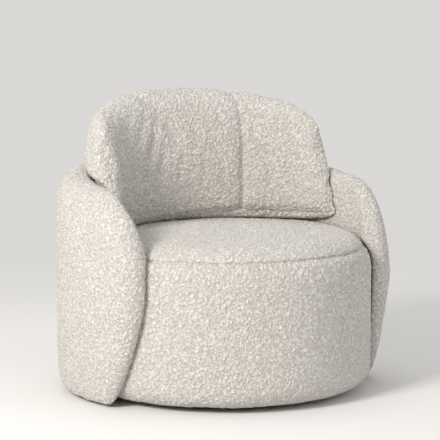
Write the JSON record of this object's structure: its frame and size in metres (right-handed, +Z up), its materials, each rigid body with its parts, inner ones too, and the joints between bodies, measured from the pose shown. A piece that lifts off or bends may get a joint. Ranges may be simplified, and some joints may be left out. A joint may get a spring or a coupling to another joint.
{
  "type": "tub chair",
  "caption": "Round upholstered tub chair with a padded wraparound shell and a lobed back cushion, turning on a concealed ball bearing over a low plinth.",
  "frame": {"origin": "on the turning axis, at the underside of the glide ring where the chair rests on the floor", "axes": "+X to the right arm seen from the front, +Y to the back, +Z up along the turning axis; the front faces -Y"},
  "size_m": [0.8542, 0.793, 0.741],
  "materials": {
    "felt": "dense felt",
    "plinth_board": "birch plywood",
    "plinth_black": "matt black edge band",
    "bearing_steel": "zinc-plated pressed steel",
    "ball_steel": "polished steel balls",
    "cage_nylon": "moulded nylon",
    "dark_steel": "phosphated steel",
    "plywood": "plain plywood",
    "beech": "sawn beech",
    "hardboard": "thin hardboard",
    "spring_steel": "oiled spring steel",
    "dust_cloth": "black non-woven cloth",
    "pad_felt": "grey recycled felt",
    "foam": "open-cell upholstery foam",
    "seat_boucle": "looped ecru boucle",
    "shell_boucle": "looped ecru boucle",
    "cushion_boucle": "looped ecru boucle"
  },
  "bodies": {
    "base": {"glide_ring": "felt", "plinth_disc": "plinth_board", "plinth_band": "plinth_black", "swivel_lower_plate": "bearing_steel", "lower_race": "bearing_steel", "lower_plate_screws": "dark_steel"},
    "cage": {"ball_cage": "cage_nylon", "swivel_balls": "ball_steel"},
    "chair": {"upper_race": "bearing_steel", "swivel_upper_plate": "bearing_steel", "upper_plate_bolts": "dark_steel", "tee_nuts": "bearing_steel", "bottom_deck": "plywood", "skirt_ring": "plywood", "dust_cover": "dust_cloth", "frame_posts": "beech", "drum_wall": "hardboard", "seat_ring": "plywood", "seat_spring_middle": "spring_steel", "seat_springs_inner": "spring_steel", "seat_springs_outer": "spring_steel", "spring_clips": "bearing_steel", "clip_screws": "dark_steel", "spring_pad": "pad_felt", "seat_foam": "foam", "side_foam": "foam", "seat_top_cover": "seat_boucle", "seat_side_cover": "seat_boucle", "shell_board": "plywood", "shell_bolts": "dark_steel", "shell_inner_foam": "foam", "shell_outer_foam": "foam", "shell_cover": "shell_boucle", "back_foam": "foam", "back_cover": "cushion_boucle"}
  },
  "joints": [
    {"name": "swivel", "type": "hinge", "parent": "base", "child": "chair", "pos_m": [0, 0, 0.045], "axis": [0, 0, 1], "continuous": true},
    {"name": "cage_turn", "type": "hinge", "parent": "base", "child": "cage", "pos_m": [0, 0, 0.033], "axis": [0, 0, 1], "continuous": true}
  ],
  "couplings": [
    {"joint": "cage_turn", "follows": "swivel", "ratio": 0.5}
  ]
}
